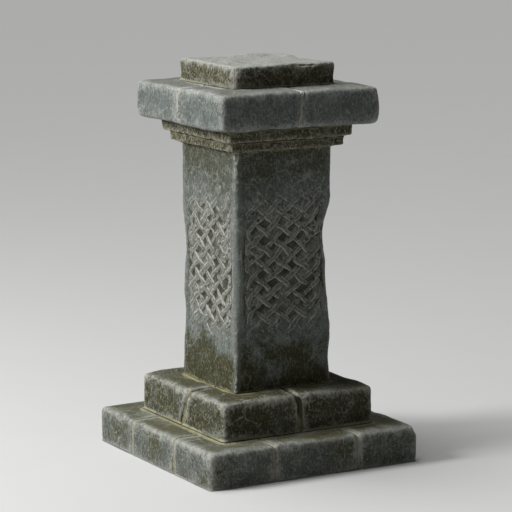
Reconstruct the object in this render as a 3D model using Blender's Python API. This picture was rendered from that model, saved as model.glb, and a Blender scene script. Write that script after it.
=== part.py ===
"""Stone pillar: two stepped courses, a knotwork shaft, two mouldings, a cap course and a top slab.

Metres, +Z up. The origin is the centre of the underside and the front is -Y.
"""

import math

import bmesh
import bpy
from mathutils import Matrix, Vector

# Course heights, from the ground up
LOWER_STEP_HEIGHT = 0.138
UPPER_STEP_HEIGHT = 0.147
SHAFT_HEIGHT = 0.900
NECK_HEIGHT = 0.038
CORNICE_HEIGHT = 0.047
CAP_HEIGHT = 0.144
TOP_SLAB_HEIGHT = 0.086

# Sides of the square courses
LOWER_STEP_SIDE = 0.894
UPPER_STEP_SIDE = 0.652
SHAFT_SIDE = 0.412
NECK_SIDE = 0.485
CORNICE_SIDE = 0.529
CAP_SIDE = 0.674
TOP_SLAB_SIDE = 0.437

# Clearances between stones
BED_GAP = 0.0003
JOINT_GAP = 0.0012

# Worn radii of the edges
JOINT_ARRIS = 0.0045
STEP_EDGE_WEAR = 0.017
STEP_CORNER_WEAR = 0.018
CAP_EDGE_WEAR = 0.017
CAP_CORNER_WEAR = 0.018
MOULDING_WEAR = 0.006
TOP_SLAB_WEAR = 0.012
BEVEL_SEGMENTS = 2

# Lengths of the corner stones along each side, in the courses of eight stones
LOWER_STEP_CORNER_LEFT = 0.272
LOWER_STEP_CORNER_RIGHT = 0.267
LOWER_STEP_CORNER_FRONT = 0.284
LOWER_STEP_CORNER_BACK = 0.271
CORNICE_CORNER_LEFT = 0.148
CORNICE_CORNER_RIGHT = 0.115
CORNICE_CORNER_FRONT = 0.139
CORNICE_CORNER_BACK = 0.143

# Offsets of the joints from the middle, in the courses of four stones
UPPER_STEP_JOINT_BED = 0.011
UPPER_STEP_JOINT_TOP = -0.012
UPPER_STEP_LEFT_JOINT_BED = -0.004
UPPER_STEP_LEFT_JOINT_TOP = -0.053
UPPER_STEP_RIGHT_JOINT = 0.024
CAP_JOINT_BED = -0.006
CAP_JOINT_TOP = 0.006
CAP_LEFT_JOINT = 0.009
CAP_RIGHT_JOINT = -0.013

# Knotwork on each face of the shaft: a plait of strands turning back at the panel's edges,
# with as many even columns and rows as fit at these least pitches
KNOT_SIDE_MARGIN = 0.042
KNOT_BOTTOM_MARGIN = 0.175
KNOT_TOP_MARGIN = 0.140
KNOT_COLUMN_PITCH = 0.040
KNOT_ROW_PITCH = 0.032
STRAND_WIDTH = 0.0225
STRAND_CROWN = 0.0150
STRAND_SINK = 0.0008
STRAND_ROOT = 0.0025
STRAND_GAP = 0.0018
TURN_REACH = 0.62
FIELD_RIM = 0.0015
FIELD_SLOPE = 0.009
FIELD_DEPTH = 0.0072
FIELD_END_DEPTH = 0.0024
FIELD_FADE = 0.17

# Wear along the shaft's four corners: depth at the foot and at the head, share of the depth
# along the front or back face and along the side face, bulge of the worn surface, and
# hollows (height share, half length share, depth)
CORNER_LEVELS = 19
CORNER_POINTS = 4
CUTTER_REACH = 0.020
CORNER_WEAR = {
    "front_left": (0.012, 0.014, 1.00, 1.00, 1.0, [(0.47, 0.42, 0.0225)]),
    "front_right": (0.0040, 0.0050, 1.15, 2.00, 0.25,
                    [(0.65, 0.145, 0.021), (0.50, 0.29, 0.022), (0.11, 0.11, 0.008)]),
    "back_left": (0.0055, 0.0010, 1.15, 2.00, 0.25,
                  [(0.565, 0.13, 0.012), (0.48, 0.40, 0.004), (0.255, 0.12, 0.006)]),
    "back_right": (0.012, 0.010, 1.20, 1.00, 0.8, [(0.58, 0.26, 0.017), (0.20, 0.13, 0.010)]),
}

# Chips: stone, where the chip sits as shares of the stone's box, its outward direction,
# the radius of the scoop and how deep it bites
CHIPS = [
    ("lower_step_corner_front_right", (1.0, 0.0, 1.0), (0.82, -0.50, 0.45), 0.260, 0.034),
    ("lower_step_corner_front_left", (0.0, 0.0, 1.0), (-1.0, -1.0, 1.4), 0.160, 0.017),
    ("lower_step_corner_back_left", (0.0, 1.0, 1.0), (-0.80, 0.50, 0.30), 0.200, 0.016),
    ("lower_step_middle_right", (1.0, 0.35, 1.0), (1.0, 0.0, 1.0), 0.140, 0.018),
    ("lower_step_corner_back_right", (0.9, 1.0, 1.0), (0.4, 1.0, 1.0), 0.120, 0.020),
    ("upper_step_back_right", (1.0, 0.30, 1.0), (1.0, 0.0, 1.2), 0.170, 0.022),
    ("upper_step_back_right", (1.0, 1.0, 1.0), (1.0, 1.0, 0.7), 0.140, 0.027),
    ("upper_step_back_left", (0.0, 1.0, 1.0), (-0.85, 0.50, 0.60), 0.200, 0.020),
    ("upper_step_front_right", (1.0, 0.0, 1.0), (1.0, -0.6, 1.0), 0.140, 0.016),
    ("cap_back_right", (0.55, 1.0, 1.0), (0.0, 1.0, 1.0), 0.140, 0.018),
    ("cap_front_right", (1.0, 0.0, 0.0), (0.80, -0.50, -0.60), 0.160, 0.022),
    ("cap_back_left", (0.0, 1.0, 0.0), (-0.80, 0.50, -0.70), 0.160, 0.022),
    ("top_slab", (0.35, 1.0, 1.0), (0.1, 1.0, 1.0), 0.130, 0.018),
    ("top_slab", (1.0, 0.45, 1.0), (1.0, 0.0, 1.3), 0.200, 0.012),
    ("top_slab", (0.0, 0.0, 1.0), (-0.6, -0.6, 1.0), 0.080, 0.010),
]
CHIP_LEVELS = 2

STONES = {}


def clear_scene():
    """Remove every object that the scene starts with."""
    for thing in list(bpy.data.objects):
        bpy.data.objects.remove(thing, do_unlink=True)


def stone_material(name, colour, roughness):
    """A dry, unpolished stone."""
    material = bpy.data.materials.new(name)
    material.use_nodes = True
    shader = material.node_tree.nodes["Principled BSDF"]
    shader.inputs["Base Color"].default_value = (*colour, 1.0)
    shader.inputs["Roughness"].default_value = roughness
    shader.inputs["Metallic"].default_value = 0.0
    material.diffuse_color = (*colour, 1.0)
    return material


def add_object(name, bm, material=None):
    """Turn a bmesh into an object with its faces pointing out."""
    bmesh.ops.recalc_face_normals(bm, faces=bm.faces[:])
    mesh = bpy.data.meshes.new(name)
    bm.to_mesh(mesh)
    bm.free()
    thing = bpy.data.objects.new(name, mesh)
    bpy.context.collection.objects.link(thing)
    if material:
        mesh.materials.append(material)
    return thing


def add_cutter(name, bm):
    """A helper shape that isn't part of the pillar."""
    cutter = add_object(name, bm)
    cutter.hide_render = True
    cutter.display_type = 'WIRE'
    return cutter


def combine(target, other, operation):
    """Cut the other shape from the target, or join it on."""
    boolean = target.modifiers.new(other.name, 'BOOLEAN')
    boolean.operation = operation
    boolean.solver = 'EXACT'
    boolean.object = other


def block_mesh(low, high, z0, z1):
    """A six-sided block whose bed and top are the rectangles (x0, x1, y0, y1) low and high."""
    bm = bmesh.new()
    corners = []
    for (x0, x1, y0, y1), z in ((low, z0), (high, z1)):
        for x, y in ((x0, y0), (x1, y0), (x1, y1), (x0, y1)):
            corners.append(bm.verts.new((x, y, z)))
    rings = {"bed": (0, 1, 2, 3), "top": (4, 5, 6, 7), "front": (0, 1, 5, 4),
             "right": (1, 2, 6, 5), "back": (2, 3, 7, 6), "left": (3, 0, 4, 7)}
    faces = {name: bm.faces.new([corners[i] for i in ring]) for name, ring in rings.items()}
    return bm, faces


def edge_wear(kinds, first, second, course):
    """Worn radius of the edge between two faces of a stone."""
    pair = {kinds[first], kinds[second]}
    if "hidden" in pair or pair == {"joint"}:
        return 0.0
    if "joint" in pair:
        return JOINT_ARRIS
    if "bed" in (first, second):
        return course["bed_wear"]
    if "top" in (first, second):
        return course["top_wear"]
    return course["corner_wear"]


def stone(name, course, low, high):
    """One stone of a course, with its outer edges worn and its joints dressed back a little."""
    half = course["side"] / 2
    kinds = {"bed": course["bed"], "top": course["top"]}
    outline = {"left": 0, "right": 1, "front": 2, "back": 3}
    inset_low = list(low)
    inset_high = list(high)
    for face, i in outline.items():
        outer = abs(abs(low[i]) - half) < 1e-6
        kinds[face] = "open" if outer else "joint"
        inward = 1.0 if i in (0, 2) else -1.0
        shift = 0.0 if outer else inward * JOINT_GAP / 2
        inset_low[i] += shift
        inset_high[i] += shift
    z0, z1 = course["z0"], course["z1"]
    bm, faces = block_mesh(inset_low, inset_high, z0, z1)
    widest = max(course["top_wear"], course["bed_wear"], course["corner_wear"], JOINT_ARRIS)
    weights = bm.edges.layers.float.new("bevel_weight_edge")
    names = {face: name for name, face in faces.items()}
    for edge in bm.edges:
        first, second = (names[face] for face in edge.link_faces)
        edge[weights] = edge_wear(kinds, first, second, course) / widest
    block = add_object(name, bm, course["material"])
    bevel = block.modifiers.new("worn edges", 'BEVEL')
    bevel.limit_method = 'WEIGHT'
    bevel.width = widest
    bevel.segments = BEVEL_SEGMENTS
    STONES[name] = (block, (min(inset_low[0], inset_high[0]), max(inset_low[1], inset_high[1]),
                            min(inset_low[2], inset_high[2]), max(inset_low[3], inset_high[3]),
                            z0, z1))
    return block


def course_of_one(name, course):
    """A course cut from a single slab."""
    half = course["side"] / 2
    square = (-half, half, -half, half)
    stone(name, course, square, square)


def course_of_four(prefix, course, middle, left, right):
    """Four stones; each joint is given by its offset at the bed and at the top."""
    half = course["side"] / 2
    for side, cross, x_of in (("left", left, lambda x: (-half, x)),
                              ("right", right, lambda x: (x, half))):
        front = [(*x_of(middle[i]), -half, cross[i]) for i in (0, 1)]
        back = [(*x_of(middle[i]), cross[i], half) for i in (0, 1)]
        stone(f"{prefix}_front_{side}", course, *front)
        stone(f"{prefix}_back_{side}", course, *back)


def course_of_eight(prefix, course, left, right, front, back):
    """Four corner stones and four middle stones, the front and back ones meeting in the middle.

    The lengths are those of the corner stones along the front and along the sides.
    """
    half = course["side"] / 2
    columns = {"left": (-half, left - half), "right": (half - right, half)}
    for side, (x0, x1) in columns.items():
        runs = {f"{prefix}_corner_front_{side}": (-half, front - half),
                f"{prefix}_middle_{side}": (front - half, half - back),
                f"{prefix}_corner_back_{side}": (half - back, half)}
        for name, (y0, y1) in runs.items():
            stone(name, course, (x0, x1, y0, y1), (x0, x1, y0, y1))
    for side, (y0, y1) in {"front": (-half, 0.0), "back": (0.0, half)}.items():
        middle = (left - half, half - right, y0, y1)
        stone(f"{prefix}_middle_{side}", course, middle, middle)


def chip_stones():
    """Knock the chips out of the stones with coarse scoops."""
    for number, (name, share, direction, radius, depth) in enumerate(CHIPS):
        block, (x0, x1, y0, y1, z0, z1) = STONES[name]
        corner = Vector((x0 + share[0] * (x1 - x0), y0 + share[1] * (y1 - y0),
                         z0 + share[2] * (z1 - z0)))
        outward = Vector(direction).normalized()
        bm = bmesh.new()
        bmesh.ops.create_icosphere(bm, subdivisions=CHIP_LEVELS, radius=radius,
                                   matrix=Matrix.Rotation(1.0 + number, 4, outward))
        bmesh.ops.translate(bm, verts=bm.verts[:], vec=corner + outward * (radius - depth))
        combine(block, add_cutter(f"chip_{number}", bm), 'DIFFERENCE')


def knot_panel():
    """The plait's lattice on one face: its lowest corner and its steps."""
    step_u = KNOT_PANEL_WIDTH / KNOT_COLUMNS
    step_z = KNOT_PANEL_HEIGHT / KNOT_ROWS
    return KNOT_SIDE_MARGIN - SHAFT_SIDE / 2, SHAFT_Z + KNOT_BOTTOM_MARGIN, step_u, step_z


def on_face(turn, u, z, depth):
    """A point of the face that is a quarter turn times turn from the front."""
    angle = turn * math.pi / 2
    out = SHAFT_SIDE / 2 - depth
    return (u * math.cos(angle) + out * math.sin(angle),
            u * math.sin(angle) - out * math.cos(angle), z)


def walk(i, j, di, dj):
    """Lattice nodes from a crossing to the next one, turning back at the panel's edges."""
    path = [(i, j)]
    while True:
        i += di
        j += dj
        path.append((i, j))
        at_side = i in (0, KNOT_COLUMNS)
        at_end = j in (0, KNOT_ROWS)
        if not (at_side or at_end):
            return path, (di, dj)
        di = -di if at_side else di
        dj = -dj if at_end else dj


def strand_half(i, j, di, dj):
    """One half of an over-strand: its centre points, and the direction of its end cut."""
    u0, z0, step_u, step_z = knot_panel()
    nodes, (di, dj) = walk(i, j, di, dj)
    points = [Vector((u0 + a * step_u, z0 + b * step_z)) for a, b in nodes]
    along = Vector((di * step_u, dj * step_z)).normalized()
    across = Vector((-di * step_u, dj * step_z)).normalized()
    slant = abs(along.x * across.y - along.y * across.x)
    points[-1] = points[-1] - along * ((STRAND_WIDTH / 2 + STRAND_GAP) / slant)
    line = []
    reach = TURN_REACH * math.hypot(step_u, step_z)
    for k in range(1, len(points) - 1):
        before, corner, after = points[k - 1], points[k], points[k + 1]
        shorter = min(reach, (corner - before).length / 2 if k > 1 else reach,
                      (after - corner).length / 2 if k < len(points) - 2 else reach)
        enter = corner + (before - corner).normalized() * shorter
        leave = corner + (after - corner).normalized() * shorter
        line += [enter, (enter + 2 * corner + leave) / 4, leave]
    line.append(points[-1])
    return line, across, slant


def offset_ring(line, k, cut, width):
    """The two edge points of a strand at one centre point."""
    if cut is not None:
        across, slant = cut
        ahead = line[k] - line[k - 1] if k else line[1] - line[0]
        normal = Vector((-ahead.y, ahead.x))
        side = across if across.dot(normal) > 0 else -across
        shift = side * (width / 2 / slant)
        return line[k] + shift, line[k] - shift
    back = (line[k] - line[k - 1]).normalized()
    ahead = (line[k + 1] - line[k]).normalized()
    tangent = (back + ahead).normalized()
    normal = Vector((-tangent.y, tangent.x))
    half = width / 2 / max(0.5, normal.dot(Vector((-back.y, back.x))))
    return line[k] + normal * half, line[k] - normal * half


def strand_sections(line, first_cut, last_cut):
    """Cross-sections of a strand: two root points and two crown points, as (u, z, depth)."""
    taper = (STRAND_WIDTH - STRAND_CROWN) / (FIELD_DEPTH - STRAND_SINK)
    root = STRAND_WIDTH + taper * STRAND_ROOT
    sections = []
    for k in range(len(line)):
        cut = first_cut if k == 0 else last_cut if k == len(line) - 1 else None
        left_root, right_root = offset_ring(line, k, cut, root)
        left_crown, right_crown = offset_ring(line, k, cut, STRAND_CROWN)
        sections.append([(*left_root, FIELD_DEPTH + STRAND_ROOT), (*left_crown, STRAND_SINK),
                         (*right_crown, STRAND_SINK), (*right_root, FIELD_DEPTH + STRAND_ROOT)])
    return sections


def loft(bm, sections):
    """A closed solid through equal rings of points."""
    rings = [[bm.verts.new(point) for point in section] for section in sections]
    count = len(rings[0])
    for lower, upper in zip(rings, rings[1:]):
        for k in range(count):
            after = (k + 1) % count
            bm.faces.new((lower[k], lower[after], upper[after], upper[k]))
    bm.faces.new(rings[0])
    bm.faces.new(rings[-1])


def knotwork():
    """Every over-strand of the plait on all four faces, in one helper shape."""
    bm = bmesh.new()
    for i in range(1, KNOT_COLUMNS):
        for j in range(1, KNOT_ROWS):
            if (i + j) % 2 == 0:
                continue
            rise = -1 if i % 2 == 0 else 1
            up, up_cut, up_slant = strand_half(i, j, 1, rise)
            down, down_cut, down_slant = strand_half(i, j, -1, -rise)
            line = down[::-1] + up
            sections = strand_sections(line, (down_cut, down_slant), (up_cut, up_slant))
            for turn in range(4):
                loft(bm, [[on_face(turn, *point) for point in section] for section in sections])
    return add_cutter("knotwork_strands", bm)


def sunk_fields():
    """The four sunk panels, with sloping sides, shallower towards their top and bottom."""
    u0, z0, step_u, step_z = knot_panel()
    half = KNOT_COLUMNS * step_u / 2 + FIELD_RIM
    height = KNOT_ROWS * step_z + 2 * FIELD_RIM
    bm = bmesh.new()
    for turn in range(4):
        sections = []
        for share, depth in ((0.0, FIELD_END_DEPTH), (FIELD_FADE, FIELD_DEPTH),
                             (1.0 - FIELD_FADE, FIELD_DEPTH), (1.0, FIELD_END_DEPTH)):
            z = z0 - FIELD_RIM + share * height
            brim = half + FIELD_SLOPE
            sections.append([on_face(turn, -brim, z, -CUTTER_REACH),
                             on_face(turn, brim, z, -CUTTER_REACH),
                             on_face(turn, brim, z, 0.0),
                             on_face(turn, half, z, depth),
                             on_face(turn, -half, z, depth),
                             on_face(turn, -brim, z, 0.0)])
        loft(bm, sections)
    return add_cutter("sunk_fields", bm)


def wear_depth(share, foot, head, hollows):
    """How far a corner is worn back at a share of the shaft's height."""
    depth = foot + (head - foot) * share
    for centre, half_length, extra in hollows:
        distance = (share - centre) / half_length
        depth += extra * max(0.0, 1.0 - distance * distance) ** 2
    return depth


def corner_cutter(name, x_side, y_side):
    """The stone lost from one corner of the shaft, as a lofted helper shape."""
    foot, head, face_share, side_share, bulge, hollows = CORNER_WEAR[name]
    half = SHAFT_SIDE / 2
    far = half + CUTTER_REACH
    sections = []
    for level in range(CORNER_LEVELS):
        share = level / (CORNER_LEVELS - 1)
        depth = wear_depth(share, foot, head, hollows)
        start = Vector((half - depth * face_share, half))
        corner = Vector((half, half))
        end = Vector((half, half - depth * side_share))
        profile = [Vector((start.x, far))]
        for k in range(CORNER_POINTS):
            t = k / (CORNER_POINTS - 1)
            chord = start.lerp(end, t)
            curve = start * (1 - t) ** 2 + corner * (2 * t * (1 - t)) + end * t ** 2
            profile.append(chord.lerp(curve, bulge))
        profile += [Vector((far, end.y)), Vector((far, far))]
        z = SHAFT_Z - CUTTER_REACH + share * (SHAFT_HEIGHT + 2 * CUTTER_REACH)
        sections.append([(x_side * point.x, y_side * point.y, z) for point in profile])
    bm = bmesh.new()
    loft(bm, sections)
    return add_cutter(f"wear_{name}", bm)


def carved_shaft(material):
    """The shaft: a square prism with its knotwork carved in and its corners worn back."""
    half = SHAFT_SIDE / 2
    square = (-half, half, -half, half)
    bm, _ = block_mesh(square, square, SHAFT_Z, SHAFT_Z + SHAFT_HEIGHT - BED_GAP)
    shaft = add_object("carved_shaft", bm, material)
    combine(shaft, sunk_fields(), 'DIFFERENCE')
    combine(shaft, knotwork(), 'UNION')
    for name in CORNER_WEAR:
        x_side = 1 if name.endswith("right") else -1
        y_side = 1 if name.startswith("back") else -1
        combine(shaft, corner_cutter(name, x_side, y_side), 'DIFFERENCE')


def course(side, z0, height, material, wear, bed="hidden", top="open", last=False):
    """What the stones of one course share; wear is (top edge, bed edge, corner)."""
    top_wear, bed_wear, corner_wear = wear
    return {"side": side, "z0": z0, "z1": z0 + height - (0.0 if last else BED_GAP),
            "material": material, "bed": bed, "top": top,
            "top_wear": top_wear, "bed_wear": bed_wear, "corner_wear": corner_wear}


# The panel of knotwork on each face, and its even numbers of columns and rows
KNOT_PANEL_WIDTH = SHAFT_SIDE - 2 * KNOT_SIDE_MARGIN
KNOT_PANEL_HEIGHT = SHAFT_HEIGHT - KNOT_BOTTOM_MARGIN - KNOT_TOP_MARGIN
KNOT_COLUMNS = 2 * int(KNOT_PANEL_WIDTH / (2 * KNOT_COLUMN_PITCH))
KNOT_ROWS = 2 * int(KNOT_PANEL_HEIGHT / (2 * KNOT_ROW_PITCH))

# Level of each course's bed
UPPER_STEP_Z = LOWER_STEP_HEIGHT
SHAFT_Z = UPPER_STEP_Z + UPPER_STEP_HEIGHT
NECK_Z = SHAFT_Z + SHAFT_HEIGHT
CORNICE_Z = NECK_Z + NECK_HEIGHT
CAP_Z = CORNICE_Z + CORNICE_HEIGHT
TOP_SLAB_Z = CAP_Z + CAP_HEIGHT


def build():
    """Make the whole pillar."""
    clear_scene()
    step_stone = stone_material("step_stone", (0.135, 0.140, 0.110), 0.90)
    shaft_stone = stone_material("shaft_stone", (0.150, 0.155, 0.130), 0.88)
    moulding_stone = stone_material("moulding_stone", (0.165, 0.155, 0.105), 0.92)
    cap_stone = stone_material("cap_stone", (0.165, 0.185, 0.185), 0.86)
    top_stone = stone_material("top_stone", (0.150, 0.145, 0.115), 0.90)

    lower = course(LOWER_STEP_SIDE, 0.0, LOWER_STEP_HEIGHT, step_stone,
                   (STEP_EDGE_WEAR, 0.0, STEP_CORNER_WEAR))
    course_of_eight("lower_step", lower, LOWER_STEP_CORNER_LEFT, LOWER_STEP_CORNER_RIGHT,
                    LOWER_STEP_CORNER_FRONT, LOWER_STEP_CORNER_BACK)

    upper = course(UPPER_STEP_SIDE, UPPER_STEP_Z, UPPER_STEP_HEIGHT, step_stone,
                   (STEP_EDGE_WEAR, 0.0, STEP_CORNER_WEAR))
    course_of_four("upper_step", upper, (UPPER_STEP_JOINT_BED, UPPER_STEP_JOINT_TOP),
                   (UPPER_STEP_LEFT_JOINT_BED, UPPER_STEP_LEFT_JOINT_TOP),
                   (UPPER_STEP_RIGHT_JOINT, UPPER_STEP_RIGHT_JOINT))

    carved_shaft(shaft_stone)

    neck = course(NECK_SIDE, NECK_Z, NECK_HEIGHT, moulding_stone,
                  (0.0, MOULDING_WEAR, MOULDING_WEAR), bed="open", top="hidden")
    course_of_one("neck_slab", neck)

    cornice = course(CORNICE_SIDE, CORNICE_Z, CORNICE_HEIGHT, moulding_stone,
                     (0.0, MOULDING_WEAR, MOULDING_WEAR), bed="open", top="hidden")
    course_of_eight("cornice", cornice, CORNICE_CORNER_LEFT, CORNICE_CORNER_RIGHT,
                    CORNICE_CORNER_FRONT, CORNICE_CORNER_BACK)

    cap = course(CAP_SIDE, CAP_Z, CAP_HEIGHT, cap_stone,
                 (CAP_EDGE_WEAR, CAP_EDGE_WEAR, CAP_CORNER_WEAR), bed="open")
    course_of_four("cap", cap, (CAP_JOINT_BED, CAP_JOINT_TOP),
                   (CAP_LEFT_JOINT, CAP_LEFT_JOINT), (CAP_RIGHT_JOINT, CAP_RIGHT_JOINT))

    slab = course(TOP_SLAB_SIDE, TOP_SLAB_Z, TOP_SLAB_HEIGHT, top_stone,
                  (TOP_SLAB_WEAR, 0.0, TOP_SLAB_WEAR), last=True)
    course_of_one("top_slab", slab)

    chip_stones()


build()
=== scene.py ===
"""The stone pillar's looks: worn and pitted stones, a carved shaft, moss, lichen and pale edges."""

import math

import bmesh
import bpy
import numpy as np
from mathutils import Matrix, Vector
from mathutils.bvhtree import BVHTree


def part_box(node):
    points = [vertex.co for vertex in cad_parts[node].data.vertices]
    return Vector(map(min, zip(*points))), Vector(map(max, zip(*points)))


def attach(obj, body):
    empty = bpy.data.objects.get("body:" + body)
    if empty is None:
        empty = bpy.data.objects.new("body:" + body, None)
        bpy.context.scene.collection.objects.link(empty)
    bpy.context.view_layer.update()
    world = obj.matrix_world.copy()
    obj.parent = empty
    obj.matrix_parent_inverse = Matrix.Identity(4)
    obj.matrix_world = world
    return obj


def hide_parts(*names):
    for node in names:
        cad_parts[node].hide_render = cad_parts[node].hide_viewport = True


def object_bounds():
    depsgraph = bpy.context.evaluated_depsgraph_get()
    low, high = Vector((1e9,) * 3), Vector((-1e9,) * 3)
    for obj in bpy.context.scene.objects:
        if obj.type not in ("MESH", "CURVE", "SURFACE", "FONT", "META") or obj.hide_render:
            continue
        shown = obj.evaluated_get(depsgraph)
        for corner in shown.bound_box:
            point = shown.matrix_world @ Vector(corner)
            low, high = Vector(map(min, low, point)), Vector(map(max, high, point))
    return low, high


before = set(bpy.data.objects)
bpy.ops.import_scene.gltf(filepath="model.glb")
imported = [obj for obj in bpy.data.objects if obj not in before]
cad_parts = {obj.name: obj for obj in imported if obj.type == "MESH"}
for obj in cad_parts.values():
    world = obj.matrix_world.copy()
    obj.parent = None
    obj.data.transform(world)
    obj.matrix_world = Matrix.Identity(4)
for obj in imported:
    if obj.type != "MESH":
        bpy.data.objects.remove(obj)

cad_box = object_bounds()

# The photograph's view: degrees, metres and millimetres of lens on a 36 mm sensor
VIEW_AZIMUTH = -29.82
VIEW_ELEVATION = 9.78
VIEW_DISTANCE = 9.33
VIEW_LENS = 173.7
VIEW_AIM_HEIGHT = 0.7548
VIEW_AIM_SIDE = -0.0012

# Lights and floor: places and sizes in metres, watts for the key, angles in degrees
KEY_PLACE = (-6.1, 1.2, 4.1)
KEY_AIM = (0.0, 0.0, 0.8)
KEY_SIZE = 2.2
KEY_POWER = 630.0
SUN_STRENGTH = 2.9
SUN_SPREAD = 40
SUN_TILT = (-12, -14)
SKY_COLOUR = (0.80, 0.81, 0.82, 1.0)
SKY_STRENGTH = 0.12
FLOOR_RADIUS = 60.0
FLOOR_DARK = (0.420, 0.420, 0.415)
FLOOR_LIGHT = (0.430, 0.430, 0.425)

# Mesh sizes, in metres between points, the share or number of triangles kept afterwards, and the
# blurs that the wear is measured with: rounds, at a spacing of points in metres
STONE_VOXEL = 0.0034
CARVED_STEP = 0.0024
PLAIN_STEP = 0.0040
STONE_KEEP = 0.46
SHAFT_TRIANGLES = 192000
STONE_BLUR = (3, 0.0036)
SHAFT_BLUR = (4, 0.0024)

# How near, in metres, another stone lies where it counts as touching
JOINT_REACH = 0.0060
BED_REACH = 0.0035
GROUND_REACH = 0.002

# Knotwork, as in the solids: margins of the plait on each face, strands and depths, how far the
# worn plait strays from its lattice, and the width of one map cell
KNOT_SIDE_MARGIN = 0.042
KNOT_BOTTOM_MARGIN = 0.175
KNOT_TOP_MARGIN = 0.140
KNOT_COLUMNS = 8
KNOT_ROWS = 18
STRAND_WIDTH = 0.0235
STRAND_WALL = 0.0055
STRAND_DIP = 0.58
TURN_REACH = 0.62
FIELD_DEPTH = 0.0100
FIELD_SLOPE = 0.018
HOLE_REACH = 0.024
STRAND_STRAY = 0.0062
MAP_STEP = 0.0011

# Wear along the shaft's corners, as in the solids: depth at the foot and at the head, share of
# the depth along the front or back face and along the side face, bulge of the worn surface,
# and hollows (height share, half length share, depth)
CORNER_WEAR = {
    "front_left": (0.012, 0.014, 1.00, 1.00, 1.0, [(0.47, 0.42, 0.0225)]),
    "front_right": (0.0040, 0.0050, 1.15, 2.00, 0.25,
                    [(0.65, 0.145, 0.021), (0.50, 0.29, 0.022), (0.11, 0.11, 0.008)]),
    "back_left": (0.0055, 0.0010, 1.15, 2.00, 0.25,
                  [(0.565, 0.13, 0.012), (0.48, 0.40, 0.004), (0.255, 0.12, 0.006)]),
    "back_right": (0.012, 0.010, 1.20, 1.00, 0.8, [(0.58, 0.26, 0.017), (0.20, 0.13, 0.010)]),
}


# Noise in space

def lattice_noise(points, seed):
    """Smooth noise from -1 to 1 at each point."""
    cell = np.floor(points).astype(np.int64)
    part = points - cell
    part = part ** 3 * (part * (part * 6 - 15) + 10)
    total = np.zeros(len(points))
    for corner in range(8):
        offset = np.array([(corner >> k) & 1 for k in range(3)])
        weight = np.where(offset, part, 1 - part).prod(1)
        total += weight * cell_value(cell + offset, seed)
    return total


def cell_value(cell, seed):
    """A fixed value from -1 to 1 for each whole-numbered cell."""
    mixed = cell[:, 0] * 73856093 ^ cell[:, 1] * 19349663 ^ cell[:, 2] * 83492791
    mixed = (mixed + seed * 7919) * 1274126177 & 0x7fffffffffff
    mixed = (mixed ^ mixed >> 15) * 668265263 & 0x7fffffffffff
    return (mixed >> 17 & 0xffff) / 32767.5 - 1


def fractal(points, size, seed, octaves):
    """Noise whose largest bumps are about size metres across, from about -1 to 1."""
    total = np.zeros(len(points))
    for octave in range(octaves):
        place = points * (2.03 ** octave / size) + 17.3 * octave
        total += 0.5 ** octave * lattice_noise(place, seed + octave)
    return total


def pits(points, size, seed, share=0.6):
    """Depth from 0 to 1 of round pits about size metres across, in a share of the cells."""
    scaled = points / size
    cell = np.floor(scaled).astype(np.int64)
    deepest = np.zeros(len(points))
    for dx in (-1, 0, 1):
        for dy in (-1, 0, 1):
            for dz in (-1, 0, 1):
                near = cell + (dx, dy, dz)
                jitter = np.stack([cell_value(near, seed + k) for k in range(3)], 1) * 0.35 + 0.5
                radius = 0.42 + 0.22 * cell_value(near, seed + 3)
                present = cell_value(near, seed + 4) < share * 2 - 1
                distance = np.linalg.norm(scaled - near - jitter, axis=1)
                depth = np.clip(1 - distance / radius, 0, 1) * present
                np.maximum(deepest, depth * radius * 1.6, out=deepest)
    return deepest


def smooth_step(low, high, values):
    """0 below low, 1 above high, smooth between."""
    part = np.clip((values - low) / (high - low), 0, 1)
    return part * part * (3 - 2 * part)


# Meshes as arrays

def points_of(mesh):
    """The mesh's points."""
    flat = np.empty(len(mesh.vertices) * 3, np.float32)
    mesh.vertices.foreach_get("co", flat)
    return flat.reshape(-1, 3).astype(float)


def normals_of(mesh):
    """The normal at each point."""
    flat = np.empty(len(mesh.vertices) * 3, np.float32)
    mesh.vertex_normals.foreach_get("vector", flat)
    return flat.reshape(-1, 3).astype(float)


def edges_of(mesh):
    """The two ends of each edge."""
    flat = np.empty(len(mesh.edges) * 2, np.int32)
    mesh.edges.foreach_get("vertices", flat)
    return flat.reshape(-1, 2)


def set_points(mesh, points):
    """Move the mesh's points."""
    mesh.vertices.foreach_set("co", points.astype(np.float32).ravel())
    mesh.update()


def set_mask(mesh, name, values):
    """Keep one value for each point, for the material to read."""
    attribute = mesh.attributes.get(name) or mesh.attributes.new(name, 'FLOAT', 'POINT')
    attribute.data.foreach_set("value", np.clip(values, 0, 1).astype(np.float32))


def blur(values, edges, rounds):
    """Values moved halfway to the mean of their neighbours', again and again."""
    values = np.array(values, float)
    flat = values.ndim == 1
    values = values[:, None] if flat else values
    start, end = edges.T
    size = len(values)
    count = np.maximum(1, np.bincount(np.concatenate((start, end)), minlength=size))[:, None]
    for _ in range(rounds):
        total = np.stack([np.bincount(start, column[end], size) + np.bincount(end, column[start], size)
                          for column in values.T], 1)
        values = values + 0.5 * (total / count - values)
    return values[:, 0] if flat else values


def blur_rounds(blur_size, spacing):
    """Rounds of blur that reach as far as the given rounds do at the given spacing of points."""
    rounds, reference = blur_size
    return round(rounds * (reference / spacing) ** 2)


def convexity(points, normals, edges, rounds, depth):
    """How far each point stands out from its surroundings, as a share of depth."""
    return ((points - blur(points, edges, rounds)) * normals).sum(1) / depth


def applied(piece):
    """Apply the piece's modifiers."""
    graph = bpy.context.evaluated_depsgraph_get()
    mesh = bpy.data.meshes.new_from_object(piece.evaluated_get(graph))
    piece.modifiers.clear()
    piece.data = mesh
    return mesh


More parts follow.
